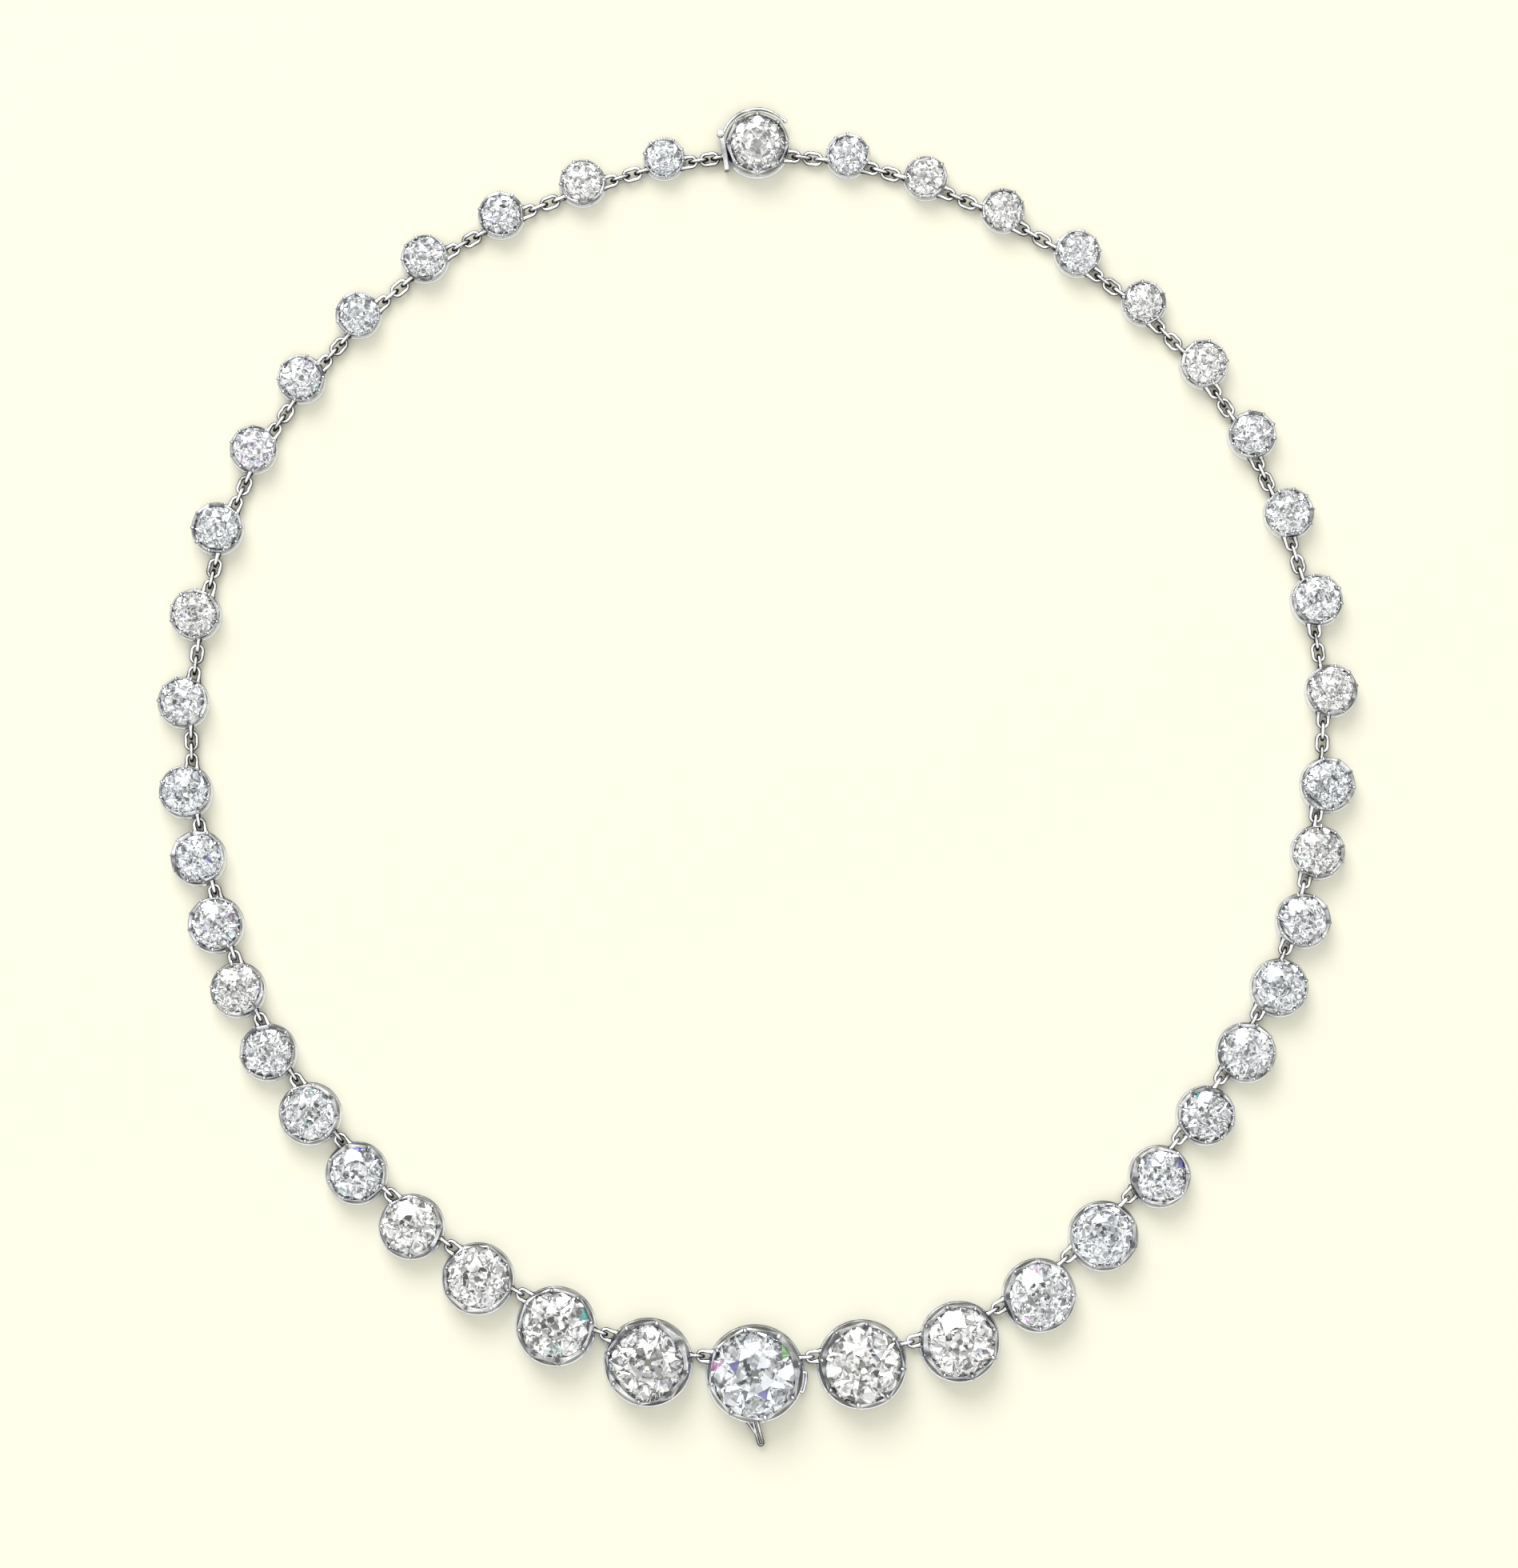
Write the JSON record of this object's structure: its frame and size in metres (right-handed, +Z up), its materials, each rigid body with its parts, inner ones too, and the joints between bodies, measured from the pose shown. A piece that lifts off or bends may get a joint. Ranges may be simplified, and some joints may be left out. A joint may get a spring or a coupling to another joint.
{
  "type": "riviere necklace",
  "caption": "Graduated diamond riviere necklace laid flat: round old-cut stones in cut-down silver collets, joined by rings and small links, with a tongue clasp and a hinged safety catch.",
  "frame": {"origin": "under the middle of the loop's bounding box, on the surface that the necklace lies on", "axes": "+Z up from the surface, +Y from the front stone to the clasp, +X to the right seen from above with the front stone nearest"},
  "size_m": [0.1293, 0.1442, 0.0058],
  "materials": {
    "collet_silver": "polished silver, darkened in the recesses, bright on rims and claws",
    "link_silver": "drawn silver wire, polished by wear",
    "clasp_silver": "silver sheet and wire, lightly tarnished",
    "diamond": "polished old-cut diamond"
  },
  "bodies": {
    "root": {"clasp_collet": "collet_silver", "collet_01": "collet_silver", "collet_02": "collet_silver", "collet_03": "collet_silver", "collet_04": "collet_silver", "collet_05": "collet_silver", "collet_06": "collet_silver", "collet_07": "collet_silver", "collet_08": "collet_silver", "collet_09": "collet_silver", "collet_10": "collet_silver", "collet_11": "collet_silver", "collet_12": "collet_silver", "collet_13": "collet_silver", "collet_14": "collet_silver", "collet_15": "collet_silver", "collet_16": "collet_silver", "collet_17": "collet_silver", "collet_18": "collet_silver", "collet_19": "collet_silver", "collet_20": "collet_silver", "collet_21": "collet_silver", "front_collet": "collet_silver", "collet_23": "collet_silver", "collet_24": "collet_silver", "collet_25": "collet_silver", "collet_26": "collet_silver", "collet_27": "collet_silver", "collet_28": "collet_silver", "collet_29": "collet_silver", "collet_30": "collet_silver", "collet_31": "collet_silver", "collet_32": "collet_silver", "collet_33": "collet_silver", "collet_34": "collet_silver", "collet_35": "collet_silver", "collet_36": "collet_silver", "collet_37": "collet_silver", "collet_38": "collet_silver", "collet_39": "collet_silver", "collet_40": "collet_silver", "collet_41": "collet_silver", "collet_42": "collet_silver", "collet_43": "collet_silver", "clasp_diamond": "diamond", "front_diamond": "diamond", "diamonds_right": "diamond", "diamonds_left": "diamond", "links_right": "link_silver", "links_left": "link_silver", "clasp_tongue": "clasp_silver"},
    "safety_catch": {"safety_catch": "clasp_silver"}
  },
  "joints": [
    {"name": "catch_hinge", "type": "hinge", "parent": "root", "child": "safety_catch", "pos_m": [-0.004, 0.06929, 0.00165], "axis": [0, 0, 1], "range_deg": [0, 100]}
  ]
}
